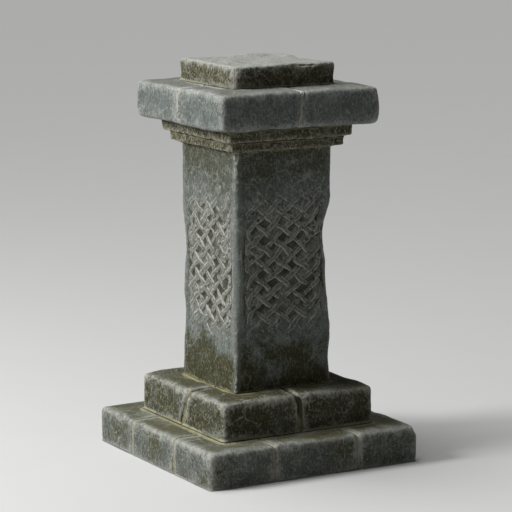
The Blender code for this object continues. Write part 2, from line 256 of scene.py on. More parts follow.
def decimated(piece, ratio):
    """Keep a share of the triangles, fewest where the surface is flat."""
    modifier = piece.modifiers.new("fewer faces", 'DECIMATE')
    modifier.ratio = ratio
    return applied(piece)


def dress(piece, node, material):
    """Give the finished piece its material and its place in the frame."""
    piece.data.materials.clear()
    piece.data.materials.append(material)
    piece.data.shade_smooth()
    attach(piece, "root")
    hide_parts(node)


# Stones

# How each course is worn. soft: how far its free edges are rounded, in blurs. tight: how square it
# stays at its joints, 0 to 1. bend: how far the joints wander. waves, lumps, pits, nicks, groove
# and corner: depths, and pit_size a width. gap: how much of the joint's mask is left out. Lengths
# are in metres.
COURSES = {
    "lower_step": dict(slot="step_stone", soft=7, tight=0.8, bend=0.004, waves=0.0034, lumps=0.0009,
                       pits=0.0009, pit_size=0.012, nicks=0.0044, groove=0.0030, gap=0.23,
                       corner=0.007, seed=11),
    "upper_step": dict(slot="step_stone", soft=8, tight=0.0, bend=0.011, waves=0.0038, lumps=0.0012,
                       pits=0.0012, pit_size=0.010, nicks=0.0034, groove=0.0080, gap=0.12,
                       corner=0.007, seed=23),
    "neck_slab": dict(slot="moulding_stone", soft=1, tight=1.0, bend=0.0, waves=0.0030, lumps=0.0016,
                      pits=0.0012, pit_size=0.010, nicks=0.0040, groove=0.0, gap=0.20,
                      corner=0.004, seed=31),
    "cornice": dict(slot="moulding_stone", soft=1, tight=1.0, bend=0.004, waves=0.0030, lumps=0.0016,
                    pits=0.0012, pit_size=0.010, nicks=0.0040, groove=0.0010, gap=0.20,
                    corner=0.004, seed=37),
    "cap": dict(slot="cap_stone", soft=15, tight=1.0, bend=0.005, waves=0.0034, lumps=0.0007,
                pits=0.0004, pit_size=0.012, nicks=0.0020, groove=0.0010, gap=0.18,
                corner=0.016, seed=41),
    "top_slab": dict(slot="top_stone", soft=7, tight=1.0, bend=0.0, waves=0.0052, lumps=0.0016,
                     pits=0.0014, pit_size=0.010, nicks=0.0068, groove=0.0, gap=0.20,
                     corner=0.008, seed=53),
}


def course_of(node):
    """The course that a node belongs to."""
    return next((name for name in COURSES if node.startswith(name)), node)


def welded(node):
    """A closed copy of a node's mesh."""
    bm = bmesh.new()
    bm.from_mesh(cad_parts[node].data)
    bmesh.ops.remove_doubles(bm, verts=bm.verts[:], dist=1e-5)
    mesh = bpy.data.meshes.new(node + "_stone")
    bm.to_mesh(mesh)
    bm.free()
    return mesh


def faces_tree(nodes):
    """The faces of several nodes, to find where a stone touches them."""
    points = []
    faces = []
    for name in nodes:
        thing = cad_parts[name]
        base = len(points)
        points += [vertex.co for vertex in thing.data.vertices]
        faces += [[base + i for i in face.vertices] for face in thing.data.polygons]
    return BVHTree.FromPolygons(points, faces) if faces else None


def covered_share(tree, points, normals, reach):
    """1 where a face of the tree lies against the surface, else 0."""
    covered = np.zeros(len(points))
    if tree is None:
        return covered
    for i, (point, normal) in enumerate(zip(points.tolist(), normals.tolist())):
        way = Vector(normal)
        if tree.ray_cast(Vector(point) + way * 1e-4, way, reach)[0] is not None:
            covered[i] = 1.0
    return covered


def bent(points, node, amount, seed):
    """Points moved within their course so that its joints wander, while its outer faces stay."""
    mates = [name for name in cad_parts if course_of(name) == course_of(node)]
    half = max(abs(place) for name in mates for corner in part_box(name) for place in corner[:2])
    shift = np.zeros_like(points)
    for axis in (0, 1):
        inner = 1 - smooth_step(0.55, 0.95, np.abs(points[:, axis]) / half)
        shift[:, axis] = amount * inner * fractal(points, 0.075, seed + 21 + axis, 2)
    return points + shift


def fine_copy(node):
    """A copy of the node's stone in even, small faces."""
    piece = bpy.data.objects.new(node + "_stone", welded(node))
    bpy.context.scene.collection.objects.link(piece)
    remesh = piece.modifiers.new("fine", 'REMESH')
    remesh.mode = 'VOXEL'
    remesh.voxel_size = STONE_VOXEL
    return piece, applied(piece)


def contacts(node, points, normals):
    """1 where the stone meets stones of its course, stones of another course, or the ground."""
    mates = [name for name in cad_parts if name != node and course_of(name) == course_of(node)]
    others = [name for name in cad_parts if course_of(name) != course_of(node)]
    joint = covered_share(faces_tree(mates), points, normals, JOINT_REACH)
    bed = covered_share(faces_tree(others), points, normals, BED_REACH)
    ground = ((points[:, 2] < GROUND_REACH) & (normals[:, 2] < -0.5)).astype(float)
    return joint, bed, ground


def weathered_stone(node, course, material):
    """A stone of the frame with its edges rounded, its faces uneven, pitted and nicked."""
    piece, mesh = fine_copy(node)
    edges = edges_of(mesh)
    square = points_of(mesh)
    rounds = blur_rounds(STONE_BLUR, STONE_VOXEL) + 1
    points = blur(square, edges, rounds)
    set_points(mesh, points)
    normals = normals_of(mesh)
    joint, bed, ground = contacts(node, points, normals)

    # Round the free edges, keep tight joints square, and let the joints wander
    near_joint = blur(joint, edges, rounds * 3)
    near_stone = blur(bed, edges, rounds * 2)
    near_bed = np.maximum(near_stone, blur(ground, edges, rounds * 2))
    free = (1 - smooth_step(0.02, 0.5, near_bed)) * (1 - smooth_step(0.42, 0.75, near_joint))
    tight = course["tight"] * smooth_step(0.10, 0.45, near_joint)
    points = points + (square - points) * tight[:, None]
    rounded = blur(points, edges, rounds * course["soft"])
    points = points + (rounded - points) * (free * (1 - tight))[:, None]
    points = bent(points, node, course["bend"], course["seed"])
    set_points(mesh, points)

    # Wear: waves, lumps, pits, nicks and worn corners, and grooves along the joints
    normals = normals_of(mesh)
    seed = course["seed"]
    ridge = smooth_step(0.10, 0.9, convexity(points, normals, edges, rounds * 8, 0.0022))
    corner = smooth_step(0.42, 1.15, convexity(points, normals, edges, rounds * 12, 0.0075))
    waves = fractal(points, 0.11, seed, 2)
    lumps = fractal(points, 0.03, seed + 5, 3)
    nicks = smooth_step(0.25, 1.0, fractal(points, 0.055, seed + 9, 3)) * ridge
    side = 1 - smooth_step(0.5, 0.8, normals[:, 2])
    hole = pits(points, course["pit_size"], seed + 13) * (0.15 + 0.85 * side)
    hole *= smooth_step(-0.5, 0.3, fractal(points, 0.06, seed + 15, 2)) * (1 - ridge)
    lift = (course["waves"] * (waves - 0.35) + course["lumps"] * (lumps - 0.2)
            - course["pits"] * hole - course["nicks"] * nicks - course["corner"] * corner) * free
    wide_joint = blur(joint, edges, rounds * 9)
    arris = smooth_step(0.03, 0.40, wide_joint) * (1 - joint) * (1 - smooth_step(0.1, 0.4, near_bed))
    arris *= 1 - 0.6 * smooth_step(0.3, 0.6, near_joint) * course["tight"]
    lift -= course["groove"] * arris * (0.7 + 0.5 * fractal(points, 0.05, seed + 17, 2))
    points = points + normals * lift[:, None]
    points[:, 2] = np.clip(points[:, 2], 0.0, cad_box[1][2])
    set_points(mesh, points)

    # Masks for the material
    normals = normals_of(mesh)
    fine = convexity(points, normals, edges, rounds * 2, 0.0006)
    crest = np.maximum(convexity(points, normals, edges, rounds * 12, 0.0075), 0)
    broad = blur(crest, edges, rounds * 5)
    crest = smooth_step(0.40, 0.85, crest) * (1 - smooth_step(0.1, 0.4, near_stone))
    seam = smooth_step(0.03, 0.30, blur(bed, edges, rounds * 4)) * (1 - bed) * (1 - ground)
    set_mask(mesh, "edge", 1.25 * broad ** 0.8)
    set_mask(mesh, "rim", np.maximum(smooth_step(0.1, 1.2, fine) * free, 0.85 * crest))
    # Darker in concave places and pits: partly dirt, partly painted shade
    set_mask(mesh, "hollow_dirt_and_shade", np.maximum(smooth_step(0.1, 1.2, -fine), hole * 0.8))
    set_mask(mesh, "seam", seam)
    set_mask(mesh, "joint", smooth_step(course["gap"], course["gap"] + 0.25, near_joint))
    set_mask(mesh, "fringe", smooth_step(0.01, 0.22, blur(bed, edges, rounds * 18)) * (1 - bed))
    set_mask(mesh, "damp", smooth_step(0.02, 0.30, blur(np.maximum(joint, bed), edges, rounds * 14)))
    decimated(piece, STONE_KEEP)
    dress(piece, node, material)


# The carved shaft

def knot_steps(side, height):
    """Half steps of the plait's lattice across and up a face."""
    step_u = (side - 2 * KNOT_SIDE_MARGIN) / KNOT_COLUMNS
    step_z = (height - KNOT_BOTTOM_MARGIN - KNOT_TOP_MARGIN) / KNOT_ROWS
    return step_u, step_z


def strand_half(i, j, di, dj, step_u, step_z):
    """Centre points of one half of an over-strand, round any turn, to the next crossing."""
    nodes = [(i, j)]
    while True:
        i += di
        j += dj
        nodes.append((i, j))
        at_side = i in (0, KNOT_COLUMNS)
        at_end = j in (0, KNOT_ROWS)
        if not (at_side or at_end):
            break
        di = -di if at_side else di
        dj = -dj if at_end else dj
    corners = [np.array((a * step_u, b * step_z)) for a, b in nodes]
    line = [corners[0]]
    full = math.hypot(step_u, step_z)
    for k in range(1, len(corners) - 1):
        before, corner, after = corners[k - 1:k + 2]
        room = [TURN_REACH * full]
        room += [np.linalg.norm(corner - before) / 2] if k > 1 else []
        room += [np.linalg.norm(after - corner) / 2] if k < len(corners) - 2 else []
        reach = min(room)
        enter = corner + (before - corner) / np.linalg.norm(before - corner) * reach
        leave = corner + (after - corner) / np.linalg.norm(after - corner) * reach
        for t in np.linspace(0, 1, 7):
            line.append(enter * (1 - t) ** 2 + corner * 2 * t * (1 - t) + leave * t ** 2)
    line.append(corners[-1])
    return line


def strand_height(along, across, length, width):
    """A strand's height, 1 at its crown and dipping to where it passes under, and its arrises."""
    half = width / 2
    wall = smooth_step(-half, STRAND_WALL - half, -across)
    profile = wall * (1 - 0.42 * (across / half) ** 2)
    dip = 1 - STRAND_DIP * smooth_step(0.30, 0.90, np.abs(along) / length)
    end = 1 - smooth_step(0.97, 1.0, np.abs(along) / length)
    arris = np.exp(-((across - half + 0.65 * STRAND_WALL) / 0.0025) ** 2) * dip
    return profile * dip * end, arris


def knot_map(side, height):
    """The plait over one panel: its height, 1 at the crowns, and the arrises of its strands."""
    step_u, step_z = knot_steps(side, height)
    us = np.arange(0, KNOT_COLUMNS * step_u + MAP_STEP, MAP_STEP)
    zs = np.arange(0, KNOT_ROWS * step_z + MAP_STEP, MAP_STEP)
    height_map = np.zeros((len(zs), len(us)))
    arris_map = np.zeros((len(zs), len(us)))
    for i in range(1, KNOT_COLUMNS):
        for j in range(1, KNOT_ROWS):
            if (i + j) % 2 == 0:
                continue
            rise = -1 if i % 2 == 0 else 1
            width = STRAND_WIDTH * (1 + 0.15 * chance(i, j, 1))
            crown = 0.84 + 0.16 * chance(i, j, 2)
            for way in (1, -1):
                line = strand_half(i, j, way, way * rise, step_u, step_z)
                raise_strand(height_map, arris_map, us, zs, line, width, crown)
    for i in range(KNOT_COLUMNS + 1):
        for j in range(KNOT_ROWS + 1):
            if (i + j) % 2 == 0:
                fill_hole(height_map, us, zs, i * step_u, j * step_z, chance(i, j, 3), chance(i, j, 4))
    return height_map, arris_map


def chance(i, j, number):
    """A fixed value from -1 to 1 for each place in the lattice."""
    return cell_value(np.array([[i, j, number]]), 61)[0]


def fill_hole(height_map, us, zs, u, z, depth, tilt):
    """Leave one hole of the plait shallower, most of all at its lower right."""
    a, b = np.searchsorted(us, (u - HOLE_REACH, u + HOLE_REACH))
    c, d = np.searchsorted(zs, (z - HOLE_REACH, z + HOLE_REACH))
    grid_u, grid_z = np.meshgrid(us[a:b] - u, zs[c:d] - z)
    rise = (grid_u - grid_z) / HOLE_REACH * (0.30 + 0.12 * tilt)
    inside = 1 - smooth_step(0.75, 1.0, np.hypot(grid_u, grid_z) / HOLE_REACH)
    bottom = np.clip(0.20 + 0.26 * depth + rise, 0, 0.62) * inside
    np.maximum(height_map[c:d, a:b], bottom, out=height_map[c:d, a:b])


def raise_strand(height_map, arris_map, us, zs, line, width, crown):
    """Raise the part of the maps that lies under one half of an over-strand."""
    line = np.array(line)
    low = line.min(0) - STRAND_WIDTH
    high = line.max(0) + STRAND_WIDTH
    a, b = np.searchsorted(us, (low[0], high[0]))
    c, d = np.searchsorted(zs, (low[1], high[1]))
    grid_u, grid_z = np.meshgrid(us[a:b], zs[c:d])
    lengths = np.linalg.norm(np.diff(line, axis=0), axis=1)
    total = lengths.sum()
    done = 0.0
    for k, length in enumerate(lengths):
        if length < 1e-9:
            continue
        way = (line[k + 1] - line[k]) / length
        du, dz = grid_u - line[k][0], grid_z - line[k][1]
        along = np.clip(du * way[0] + dz * way[1], 0, length)
        across = np.hypot(du - along * way[0], dz - along * way[1])
        raised, arris = strand_height(done + along, across, total, width)
        raised = raised * crown
        done += length
        on_top = (raised >= height_map[c:d, a:b]) & (raised > 0.05)
        arris_map[c:d, a:b] = np.where(on_top, arris, arris_map[c:d, a:b])
        np.maximum(height_map[c:d, a:b], raised, out=height_map[c:d, a:b])


def sample(height_map, u, z):
    """The map's height at each place, 0 outside it."""
    rows, columns = height_map.shape
    fu = np.clip(u / MAP_STEP, 0, columns - 1.001)
    fz = np.clip(z / MAP_STEP, 0, rows - 1.001)
    iu, iz = fu.astype(int), fz.astype(int)
    pu, pz = fu - iu, fz - iz
    value = ((height_map[iz, iu] * (1 - pu) + height_map[iz, iu + 1] * pu) * (1 - pz)
             + (height_map[iz + 1, iu] * (1 - pu) + height_map[iz + 1, iu + 1] * pu) * pz)
    inside = (u >= 0) & (u <= (columns - 1) * MAP_STEP) & (z >= 0) & (z <= (rows - 1) * MAP_STEP)
    return value * inside


def wear_depth(share, name):
    """How far a corner of the shaft is worn back at each share of its height."""
    foot, head, _, _, _, hollows = CORNER_WEAR[name]
    depth = foot + (head - foot) * share
    for centre, half_length, extra in hollows:
        depth = depth + extra * np.clip(1 - ((share - centre) / half_length) ** 2, 0, 1) ** 2
    return depth


def corner_curve(name, share, t, half, turned):
    """Place on a worn corner: (away from the middle of the face, depth below the face)."""
    _, _, face_share, side_share, bulge, _ = CORNER_WEAR[name]
    depth = wear_depth(share, name)
    first, second = (side_share, face_share) if turned else (face_share, side_share)
    start = depth * first
    end = depth * second
    chord_u, chord_d = -start * (1 - t), end * t
    curve_u, curve_d = -start * (1 - t) ** 2, end * t ** 2
    return half + chord_u + (curve_u - chord_u) * bulge, chord_d + (curve_d - chord_d) * bulge


def worn_face(u, share, half, low_corner, high_corner, side_face):
    """Places of one face's points after its two corners are worn: (u, depth)."""
    new_u, depth = u.copy(), np.zeros(len(u))
    for name, sign in ((low_corner, -1), (high_corner, 1)):
        _, _, face_share, side_share, _, _ = CORNER_WEAR[name]
        reach = wear_depth(share, name) * (side_share if side_face else face_share)
        along = sign * u - (half - reach)
        worn = along > 0
        t = np.clip(along / np.maximum(reach, 1e-9), 0, 1) / 2
        place, sunk = corner_curve(name, share, t, half, side_face)
        new_u = np.where(worn, sign * place, new_u)
        depth = np.where(worn, sunk, depth)
    return new_u, depth


def spaced(low, high, low_margin, high_margin):
    """Places from low to high, closer together between the margins."""
    parts = []
    for start, end, step in ((low, low + low_margin, PLAIN_STEP),
                             (low + low_margin, high - high_margin, CARVED_STEP),
                             (high - high_margin, high, PLAIN_STEP)):
        count = max(2, round((end - start) / step))
        parts.append(start + (end - start) * np.arange(count) / count)
    return np.concatenate(parts + [[high]])


def shaft_grid(side, z0, z1):
    """Points of the shaft's sides: face number, place across it, and height."""
    margin = KNOT_SIDE_MARGIN * 0.7
    across = spaced(-side / 2, side / 2, margin, margin)[:-1]
    z = spaced(z0, z1, KNOT_BOTTOM_MARGIN * 0.9, KNOT_TOP_MARGIN * 0.9)
    ring, levels = 4 * len(across), len(z)
    face = np.repeat(np.arange(4), len(across))
    return np.tile(face, levels), np.tile(np.tile(across, 4), levels), np.repeat(z, ring), ring, levels


# The low and high corner of the front, right, back and left face
FACE_CORNERS = (("front_left", "front_right"), ("front_right", "back_right"),
                ("back_right", "back_left"), ("back_left", "front_left"))


def shaft_surface(side, z0, z1, height_map, arris_map):
    """The shaft's points and the masks that its material reads."""
    face, u, z, ring, levels = shaft_grid(side, z0, z1)
    half = side / 2
    share = (z - z0) / (z1 - z0)
    place, worn = np.zeros(len(u)), np.zeros(len(u))
    for number, (low_corner, high_corner) in enumerate(FACE_CORNERS):
        chosen = face == number
        new_u, depth = worn_face(u[chosen], share[chosen], half, low_corner, high_corner,
                                 number % 2 == 1)
        place[chosen], worn[chosen] = new_u, depth
    angle = face * math.pi / 2
    out = half - worn
    points = np.stack([place * np.cos(angle) + out * np.sin(angle),
                       place * np.sin(angle) - out * np.cos(angle), z], 1)
    height = (z1 - z0) - KNOT_BOTTOM_MARGIN - KNOT_TOP_MARGIN
    panel_u = place + half - KNOT_SIDE_MARGIN
    panel_z = z - z0 - KNOT_BOTTOM_MARGIN
    panel_u = panel_u + STRAND_STRAY * fractal(points, 0.055, 81, 3)
    panel_z = panel_z + STRAND_STRAY * fractal(points, 0.055, 91, 3)
    crown = sample(height_map, panel_u, panel_z)
    arris = sample(arris_map, panel_u, panel_z)
    wander = 0.010 * fractal(points, 0.12, 95, 2)
    brim = np.minimum(np.minimum(panel_u, side - 2 * KNOT_SIDE_MARGIN - panel_u) + wander,
                      (np.minimum(panel_z, height - panel_z) + wander) / 2) / FIELD_SLOPE
    field = smooth_step(-1, 0.6, brim)
    ends = smooth_step(-0.02, 0.28, panel_z / height) * smooth_step(-0.02, 0.26, 1 - panel_z / height)
    deep = fractal(points, 0.05, 71, 2)
    worn_crown = 0.50 * smooth_step(-0.1, 0.9, fractal(points, 0.055, 75, 3))
    strength = (0.14 + 0.86 * ends) * (0.86 + 0.34 * deep)
    chips = smooth_step(0.08, 0.50, pits(points, 0.019, 27, 0.55))
    crown = crown * (1 - worn_crown) * (1 - 0.45 * chips)
    arris = arris * (1 - worn_crown) * (1 - 0.8 * chips)
    arris *= np.clip(0.35 + ends, 0, 1) * (1 - smooth_step(0.004, 0.016, worn))
    relief = FIELD_DEPTH * strength * field * (1 - crown)
    relief = np.maximum(0, relief - worn * 0.8)
    return points, relief, crown, arris * field, field * strength, share, ring, levels


def grid_mesh(name, points, ring, levels):
    """A closed mesh from rings of points, capped with flat ends."""
    index = np.arange(ring * levels).reshape(levels, ring)
    after = np.roll(index, -1, axis=1)
    quads = np.stack([index[:-1], after[:-1], after[1:], index[1:]], 2).reshape(-1, 4)
    mesh = bpy.data.meshes.new(name)
    loops = np.concatenate([quads.ravel(), index[0][::-1], index[-1]])
    starts = np.concatenate([np.arange(len(quads)) * 4, len(quads) * 4 + np.array([0, ring])])
    mesh.vertices.add(len(points))
    mesh.vertices.foreach_set("co", points.astype(np.float32).ravel())
    mesh.loops.add(len(loops))
    mesh.loops.foreach_set("vertex_index", loops.astype(np.int32))
    mesh.polygons.add(len(starts))
    mesh.polygons.foreach_set("loop_start", starts.astype(np.int32))
    mesh.update(calc_edges=True)
    mesh.validate()
    return mesh


def shaft_piece(material):
    """The carved shaft, standing for its node."""
    low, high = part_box("carved_shaft")
    side = high.x - low.x
    points, relief, crown, arris, field, share, ring, levels = shaft_surface(
        side, low.z, high.z, *knot_map(side, high.z - low.z))
    mesh = grid_mesh("carved_shaft_stone", points, ring, levels)
    edges = edges_of(mesh)
    normals = normals_of(mesh)
    free = smooth_step(0.0, 0.012, share) * smooth_step(0.0, 0.012, 1 - share)

    # Wear: waves, lumps, pits, nicked corners and rough ground
    waves = fractal(points, 0.13, 3, 3)
    lumps = fractal(points, 0.03, 5, 3)
    hole = pits(points, 0.012, 7) * smooth_step(-0.3, 0.6, fractal(points, 0.07, 9, 2))
    rough = fractal(points, 0.010, 15, 2) * field * (2.0 - 1.2 * crown)
    rounds = max(2, blur_rounds(SHAFT_BLUR, CARVED_STEP))
    ridge = smooth_step(0.15, 0.9, convexity(points, normals, edges, rounds * 6, 0.0030))
    nicks = smooth_step(0.05, 0.9, fractal(points, 0.045, 19, 3)) * ridge
    lift = (0.0026 * (waves - 0.25) + 0.0012 * (lumps - 0.2) - 0.0011 * hole
            + 0.0010 * rough - 0.0050 * nicks) * free - relief
    points = points + normals * lift[:, None]
    set_points(mesh, points)

    # Masks for the material
    normals = normals_of(mesh)
    fine = convexity(points, normals, edges, rounds, 0.0006)
    broad = convexity(points, normals, edges, rounds * 24, 0.0060)
    set_mask(mesh, "edge", np.maximum(broad, 0) ** 0.8)
    set_mask(mesh, "rim", np.maximum(0.6 * smooth_step(0.10, 1.1, fine), 1.15 * arris))
    # Darker in concave places and over the carved ground between the strands: partly dirt, partly painted
    # shade
    set_mask(mesh, "hollow_dirt_and_shade", np.maximum(smooth_step(0.05, 0.9, -fine),
                                        0.70 * field * (1 - smooth_step(0.0, 0.5, crown))))
    # The gap mask marks the deep ground of the knotwork, where the material paints shade
    set_mask(mesh, "gap", field * (1 - smooth_step(0.06, 0.42, crown)))
    set_mask(mesh, "seam", 1 - smooth_step(0.0, 0.016, np.minimum(share, 1 - share)))
    set_mask(mesh, "damp", 1 - smooth_step(0.0, 0.08, np.minimum(share, 1 - share)))
    set_mask(mesh, "carved", field)

    piece = bpy.data.objects.new("carved_shaft_stone", mesh)
    bpy.context.scene.collection.objects.link(piece)
    triangles = 2 * len(mesh.polygons)
    if triangles > SHAFT_TRIANGLES:
        decimated(piece, SHAFT_TRIANGLES / triangles)
    dress(piece, "carved_shaft", material)


# Materials

class Graph:
    """A material's node graph, built by calls that return sockets."""

    def __init__(self, name):
        self.material = bpy.data.materials.new(name)
        self.material.use_nodes = True
        self.tree = self.material.node_tree
        self.tree.nodes.clear()
        self.place = self.add('ShaderNodeTexCoord').outputs["Object"]

    def add(self, kind, inputs=(), **settings):
        """One node, its settings, and its inputs by name or number."""
        node = self.tree.nodes.new(kind)
        for name, value in settings.items():
            setattr(node, name, value)
        for key, value in dict(inputs).items():
            socket = node.inputs[key]
            if isinstance(value, bpy.types.NodeSocket):
                self.tree.links.new(value, socket)
            else:
                socket.default_value = value
        return node

    def mask(self, name):
        """A value kept at the mesh's points."""
        return self.add('ShaderNodeAttribute', attribute_name=name).outputs["Fac"]

    def part(self, vector, axis):
        """One coordinate of a vector."""
        return self.add('ShaderNodeSeparateXYZ', {0: vector}).outputs[axis]

    def math(self, operation, first, second=0.0):
        """One sum."""
        return self.add('ShaderNodeMath', {0: first, 1: second}, operation=operation).outputs[0]

    def times(self, first, second):
        """Product."""
        return self.math('MULTIPLY', first, second)

    def plus(self, first, second):
        """Sum."""
        return self.math('ADD', first, second)

    def most(self, first, second):
        """The greater of two values."""
        return self.math('MAXIMUM', first, second)

    def minus(self, first, second):
        """Difference."""
        return self.math('SUBTRACT', first, second)

    def ramp(self, value, low, high):
        """0 at low, 1 at high, smooth between."""
        return self.add('ShaderNodeMapRange', {"Value": value, "From Min": low, "From Max": high},
                        interpolation_type='SMOOTHSTEP').outputs[0]

    def noise(self, scale, detail=4.0, rough=0.55, stretch=None):
        """Noise from 0 to 1 with scale bumps to the metre."""
        place = self.place
        if stretch:
            place = self.add('ShaderNodeMapping', {"Vector": place, "Scale": stretch}).outputs[0]
        return self.add('ShaderNodeTexNoise', {"Vector": place, "Scale": scale, "Detail": detail,
                                               "Roughness": rough}).outputs[0]

    def cracks(self, scale, twist):
        """Distance to the borders of scattered cells, bent by noise."""
        bend = self.add('ShaderNodeTexNoise', {"Vector": self.place, "Scale": 14.0, "Detail": 4.0})
        push = self.add('ShaderNodeVectorMath', {0: bend.outputs["Color"], 1: (twist, twist, twist)},
                        operation='MULTIPLY')
        place = self.add('ShaderNodeVectorMath', {0: self.place, 1: push.outputs[0]}, operation='ADD')
        return self.add('ShaderNodeTexVoronoi', {"Vector": place.outputs[0], "Scale": scale},
                        feature='DISTANCE_TO_EDGE').outputs["Distance"]

    def mix(self, share, first, second):
        """A colour between two."""
        first = first if isinstance(first, bpy.types.NodeSocket) else (*first, 1.0)
        second = second if isinstance(second, bpy.types.NodeSocket) else (*second, 1.0)
        return self.add('ShaderNodeMix', {0: share, 6: first, 7: second}, data_type='RGBA',
                        clamp_factor=True).outputs[2]


# The colours of each kind of stone, and how much it shows of side_stain, top_stain, grit (grains),
# worn (pale edges) and line (thin pale arrises)
LOOKS = {
    "lower_step": dict(dark=(0.040, 0.048, 0.040), mid=(0.088, 0.097, 0.084), pale=(0.235, 0.240, 0.208),
                       edge=(0.208, 0.215, 0.193), top=(0.114, 0.119, 0.097), stain=(0.038, 0.036, 0.010),
                       crust=(0.275, 0.260, 0.148), mortar=(0.262, 0.252, 0.176), side_stain=0.56,
                       top_stain=0.90, grit=0.85, worn=0.90, line=0.33),
    "upper_step": dict(dark=(0.024, 0.024, 0.014), mid=(0.064, 0.064, 0.044), pale=(0.215, 0.212, 0.160),
                       edge=(0.208, 0.213, 0.184), top=(0.058, 0.059, 0.040), stain=(0.025, 0.024, 0.006),
                       crust=(0.300, 0.276, 0.135), mortar=(0.220, 0.202, 0.105), side_stain=0.85,
                       top_stain=0.95, grit=0.90, worn=1.00, line=0.35),
    "shaft": dict(dark=(0.046, 0.056, 0.050), mid=(0.106, 0.120, 0.110), pale=(0.235, 0.242, 0.218),
                  edge=(0.145, 0.156, 0.143), top=(0.170, 0.175, 0.155), stain=(0.025, 0.025, 0.007),
                  crust=(0.265, 0.245, 0.135), mortar=(0.265, 0.245, 0.135), side_stain=0.25,
                  top_stain=0.30, grit=0.85, worn=0.45, line=0.72, stained_pale=(0.130, 0.127, 0.057)),
    # The moulding's dark and mid colours are partly its own dark stone and partly painted shade from the
    # cap above
    "moulding": dict(dark=(0.011, 0.010, 0.003), mid=(0.047, 0.043, 0.022), pale=(0.400, 0.383, 0.270),
                     edge=(0.155, 0.146, 0.096), top=(0.150, 0.140, 0.095), stain=(0.017, 0.015, 0.004),
                     crust=(0.150, 0.136, 0.075), mortar=(0.150, 0.136, 0.075), side_stain=0.75,
                     top_stain=0.60, grit=1.00, worn=0.32, line=0.20),
    "cap": dict(dark=(0.050, 0.061, 0.056), mid=(0.096, 0.108, 0.100), pale=(0.225, 0.233, 0.215),
                edge=(0.213, 0.222, 0.206), top=(0.150, 0.157, 0.144), stain=(0.058, 0.056, 0.030),
                crust=(0.290, 0.292, 0.260), mortar=(0.365, 0.366, 0.330), side_stain=0.08,
                top_stain=0.35, grit=0.66, worn=0.95, line=0.45),
    "top_slab": dict(dark=(0.020, 0.018, 0.005), mid=(0.058, 0.054, 0.027), pale=(0.238, 0.230, 0.162),
                     edge=(0.215, 0.221, 0.199), top=(0.330, 0.340, 0.326), stain=(0.026, 0.022, 0.005),
                     crust=(0.220, 0.208, 0.135), mortar=(0.220, 0.208, 0.135), side_stain=0.62,
                     top_stain=0.0, grit=1.00, worn=0.65, line=0.25),
}

# Colours that several stones share: pale and dark grains where the stone is stained, painted shade for
# the deep holes of the knotwork, the ground of the knotwork, and thin arrises
STAINED_GRAIN = (0.172, 0.166, 0.084)
DEEP = (0.012, 0.010, 0.003)
# Painted shade for the deep gaps of the knotwork
PAINTED_GAP_SHADE = (0.022, 0.021, 0.015)
CARVED = (0.151, 0.142, 0.121)
ARRIS = (0.350, 0.342, 0.304)

# The upper step's joints are dark and open above these heights, in metres
CRACK = (0.018, 0.017, 0.009)
CRACK_HEIGHTS = (0.175, 0.215)


class StoneGraph(Graph):
    """A stone's graph, with the masks and noises that its layers share."""

    def __init__(self, kind):
        super().__init__(kind + "_stone")
        self.kind = kind
        self.look = LOOKS[kind]
        self.edge = self.mask("edge")
        self.hollow_dirt_and_shade = self.mask("hollow_dirt_and_shade")
        self.normal = self.add('ShaderNodeNewGeometry').outputs["Normal"]
        self.up = self.part(self.normal, "Z")
        self.height = self.part(self.place, "Z")
        self.top = self.ramp(self.up, 0.45, 0.85)
        self.side = self.minus(1.0, self.top)
        self.blotch = self.noise(6.0, 5.0, 0.6)
        self.cloud = self.noise(18.0, 6.0, 0.72)
        self.grain = self.noise(135.0, 3.0, 0.70, stretch=(1.0, 1.0, 0.60))
        self.speck = self.noise(210.0, 2.0, 0.70)
        self.streak = self.noise(1.0, 5.0, 0.72, stretch=(85.0, 85.0, 15.0))
        self.uneven = self.minus(self.grain, 0.5)


def stone_material(kind):
    """Weathered stone: grainy body, pale worn edges, dirty pits with painted shade, stains, lichen in
    seams.
    """
    g = StoneGraph(kind)
    look = g.look
    stained = stain_share(g)
    pale = g.mix(g.times(stained, 0.85), look["pale"], look.get("stained_pale", STAINED_GRAIN))
    deep = g.mix(stained, look["dark"], DEEP)
    dotted = g.minus(1.0, g.times(g.top, 0.65))

    body = g.mix(stained, bare_stone(g), look["stain"])
    body = g.mix(g.times(g.ramp(g.grain, 0.52, 0.66), 0.74 * look["grit"]), body, pale)
    dots = g.times(g.ramp(g.minus(1.0, g.grain), 0.52, 0.65), dotted)
    body = g.mix(g.times(dots, 0.90 * look["grit"]), body, deep)
    body = pale_edges(g, body)
    if kind == "shaft":
        body = g.mix(scratches(g), body, look["pale"])
        # Painted shade: the deep gaps of the knotwork are darkened to a near-black colour
        gap = g.ramp(g.plus(g.mask("gap"), g.times(g.uneven, 0.6)), 0.30, 0.95)
        body = g.mix(g.times(gap, 0.80), body, PAINTED_GAP_SHADE)
    body = filled_joints(g, body)
    body = seam_crust(g, body)
    body = g.mix(g.times(g.ramp(g.speck, 0.56, 0.68), 0.60 * look["grit"]), body, pale)
    dots = g.times(g.ramp(g.minus(1.0, g.speck), 0.56, 0.68), dotted)
    body = g.mix(g.times(dots, 0.60), body, deep)

    rough = g.add('ShaderNodeMapRange', {"Value": g.grain, "From Min": 0.3, "From Max": 0.7,
                                         "To Min": 0.66, "To Max": 0.90}).outputs[0]
    relief = g.plus(g.times(g.grain, 0.7 + 0.7 * look["grit"]), g.times(g.noise(45.0, 5.0, 0.7), 0.8))
    bump = g.add('ShaderNodeBump', {"Strength": 0.8, "Distance": 0.0034, "Height": relief})
    shader = g.add('ShaderNodeBsdfPrincipled', {"Base Color": body, "Roughness": rough,
                                                "Specular IOR Level": 0.30, "Normal": bump.outputs[0]})
    g.add('ShaderNodeOutputMaterial', {"Surface": shader.outputs[0]})
    return g.material


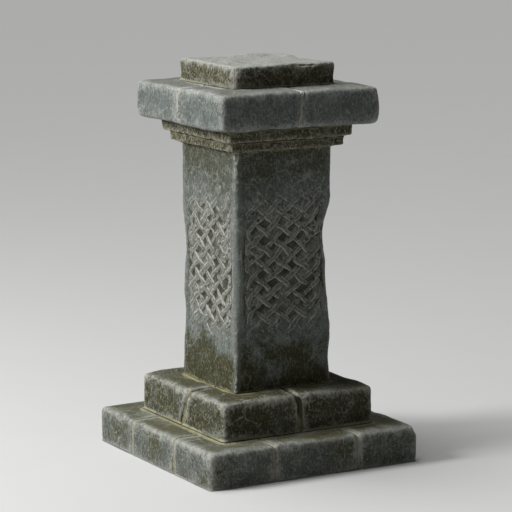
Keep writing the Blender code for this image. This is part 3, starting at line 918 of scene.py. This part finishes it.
def bare_stone(g):
    """Cloudy stone, with faint streaks running down the sides and paler upper faces."""
    look = g.look
    body = g.mix(g.ramp(g.cloud, 0.36, 0.64), look["dark"], look["mid"])
    body = g.mix(g.times(g.ramp(g.streak, 0.50, 0.66), g.times(g.side, 0.28)), body, look["pale"])
    body = g.mix(g.times(g.ramp(g.cloud, 0.10, 0.50), g.times(g.top, 0.80)), body, look["top"])
    if g.kind == "shaft":
        body = g.mix(g.times(g.mask("carved"), 0.60), body, CARVED)
    return body


def stain_share(g):
    """Share of stain: in blotches down the sides, on the tops, by the seams, and in pits as dirt and
    painted shade.
    """
    look = g.look
    level = 0.64 - 0.26 * look["side_stain"]
    growth = g.ramp(g.plus(g.times(g.blotch, 0.50), g.times(g.streak, 0.50)), level, level + 0.12)
    stained = g.times(g.times(growth, g.side), 0.90)
    inner = g.minus(g.plus(g.blotch, g.times(g.cloud, 0.4)), g.times(g.edge, 0.7))
    stained = g.most(stained, g.times(g.times(g.ramp(inner, 0.48, 0.74), g.top), look["top_stain"]))
    damp = g.ramp(g.plus(g.mask("damp"), g.times(g.minus(g.cloud, 0.58), 1.6)), 0.05, 0.55)
    stained = g.most(stained, g.times(damp, 0.80))
    if g.kind == "shaft":
        stained = g.most(stained, shaft_stain(g))
    # Pits and hollows take the stain: partly dirt, partly painted shade
    return g.most(stained, g.times(g.ramp(g.hollow_dirt_and_shade, 0.1, 0.9), 0.80))


def shaft_stain(g):
    """Share of olive stain, partly painted shade under the mouldings, and denser stain rising from the
    foot.
    """
    ragged = g.plus(g.times(g.minus(g.blotch, 0.5), 0.55), g.times(g.minus(g.streak, 0.5), 0.12))
    ragged = g.plus(ragged, g.times(g.minus(g.cloud, 0.5), 0.22))
    place = g.plus(g.height, ragged)
    # Under the mouldings the olive stain is partly painted shade
    head = g.times(g.ramp(place, 0.97, 1.17), 0.78)
    foot = g.ramp(g.times(place, -1.0), -0.48, -0.37)
    return g.most(head, foot)


def pale_edges(g, body):
    """Pale edges that break up into grains, thin pale arrises, and pale veins."""
    look = g.look
    worn = g.plus(g.edge, g.plus(g.times(g.uneven, 1.0), g.times(g.minus(g.cloud, 0.5), 0.60)))
    under = g.times(g.ramp(g.times(g.up, -1.0), 0.2, 0.7), 0.45)
    spared = g.minus(1.0, g.plus(g.times(g.top, 0.34), under))
    body = g.mix(g.times(g.times(g.ramp(worn, 0.04, 0.54), look["worn"]), spared), body, look["edge"])
    line = g.ramp(g.plus(g.mask("rim"), g.times(g.uneven, 0.7)), 0.20, 0.70)
    body = g.mix(g.times(line, look["line"]), body, ARRIS)
    vein = g.minus(1.0, g.ramp(g.cracks(7.0, 0.11), 0.002, 0.022))
    vein = g.times(vein, g.ramp(g.noise(11.0, 4.0), 0.44, 0.56))
    return g.mix(g.times(vein, 0.72), body, look["edge"])


def scratches(g):
    """Share of fine pale scratches, on the sides between the knotwork and the mouldings."""
    above = g.minus(1.0, g.times(g.ramp(g.height, 1.05, 1.14), 0.6))
    zone = g.times(g.ramp(g.height, 0.80, 0.94), above)
    line = g.minus(1.0, g.ramp(g.cracks(15.0, 0.16), 0.006, 0.055))
    return g.times(g.times(line, g.ramp(g.noise(16.0, 3.0), 0.42, 0.56)), g.times(zone, 0.80))


def filled_joints(g, body):
    """Pale mortar in the joints, and the dark open joints high on the upper step."""
    joint = g.mask("joint")
    mortar = g.ramp(g.plus(joint, g.times(g.uneven, 1.1)), 0.30, 0.95)
    body = g.mix(g.times(mortar, 0.84), body, g.look["mortar"])
    if g.kind == "upper_step":
        height = g.plus(g.height, g.times(g.minus(g.cloud, 0.5), 0.16))
        facing = g.math('ABSOLUTE', g.part(g.normal, "X"))
        filled = g.times(g.ramp(facing, 0.4, 0.8), 0.65)
        open_joint = g.times(g.ramp(height, *CRACK_HEIGHTS), g.minus(1.0, filled))
        crack = g.times(g.ramp(joint, 0.40, 0.90), open_joint)
        body = g.mix(g.times(crack, 0.95), body, CRACK)
    return body


def seam_crust(g, body):
    """Lichen in patches along the seams between the courses."""
    patchy = g.plus(g.times(g.uneven, 1.3), g.times(g.minus(g.cloud, 0.52), 2.6))
    crust = g.times(g.ramp(g.plus(g.mask("seam"), patchy), 0.38, 0.95), 0.72)
    fringe = g.times(g.ramp(g.plus(g.mask("fringe"), patchy), 0.20, 1.00), g.times(g.top, 0.65))
    return g.mix(g.most(crust, fringe), body, g.look["crust"])


# Stage

def floor():
    """A plain pale floor."""
    bm = bmesh.new()
    bmesh.ops.create_circle(bm, cap_ends=True, segments=96, radius=FLOOR_RADIUS)
    mesh = bpy.data.meshes.new("floor")
    bm.to_mesh(mesh)
    bm.free()
    thing = bpy.data.objects.new("floor", mesh)
    bpy.context.scene.collection.objects.link(thing)
    paint = Graph("floor_paint")
    tint = paint.mix(paint.noise(3.0, 2.0), FLOOR_DARK, FLOOR_LIGHT)
    shader = paint.add('ShaderNodeBsdfPrincipled', {"Base Color": tint, "Roughness": 0.95,
                                                    "Specular IOR Level": 0.05})
    paint.add('ShaderNodeOutputMaterial', {"Surface": shader.outputs[0]})
    mesh.materials.append(paint.material)


def lights():
    """Soft light, mostly from the left, with a wide sun overhead and a faint sky."""
    scene = bpy.context.scene
    light = bpy.data.lights.new("key", 'AREA')
    light.shape = 'DISK'
    light.size = KEY_SIZE
    light.energy = KEY_POWER
    key = bpy.data.objects.new("key", light)
    key.location = KEY_PLACE
    key.rotation_euler = (Vector(KEY_AIM) - Vector(KEY_PLACE)).to_track_quat('-Z', 'Y').to_euler()
    scene.collection.objects.link(key)

    sun = bpy.data.lights.new("overhead", 'SUN')
    sun.energy = SUN_STRENGTH
    sun.angle = math.radians(SUN_SPREAD)
    overhead = bpy.data.objects.new("overhead", sun)
    overhead.rotation_euler = (math.radians(SUN_TILT[0]), math.radians(SUN_TILT[1]), 0)
    scene.collection.objects.link(overhead)

    scene.world = scene.world or bpy.data.worlds.new("studio")
    scene.world.use_nodes = True
    sky = scene.world.node_tree.nodes["Background"]
    sky.inputs["Color"].default_value = SKY_COLOUR
    sky.inputs["Strength"].default_value = SKY_STRENGTH
    scene.view_settings.view_transform = 'Standard'


def camera():
    """The camera at the photograph's viewing angle."""
    azimuth, elevation = math.radians(VIEW_AZIMUTH), math.radians(VIEW_ELEVATION)
    back = Vector((math.sin(azimuth) * math.cos(elevation),
                   -math.cos(azimuth) * math.cos(elevation), math.sin(elevation)))
    aim = Vector((math.cos(azimuth), math.sin(azimuth), 0)) * VIEW_AIM_SIDE
    aim.z = VIEW_AIM_HEIGHT
    lens = bpy.data.cameras.new("camera")
    lens.lens = VIEW_LENS
    lens.clip_end = 200.0
    thing = bpy.data.objects.new("camera", lens)
    thing.location = aim + back * VIEW_DISTANCE
    thing.rotation_euler = (-back).to_track_quat('-Z', 'Y').to_euler()
    bpy.context.scene.collection.objects.link(thing)
    bpy.context.scene.camera = thing


camera()
floor()
lights()
materials = {kind: stone_material(kind) for kind in LOOKS}
for node in sorted(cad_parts):
    if node == "carved_shaft":
        shaft_piece(materials["shaft"])
        continue
    name = course_of(node)
    kind = "moulding" if name in ("neck_slab", "cornice") else name
    weathered_stone(node, COURSES[name], materials[kind])
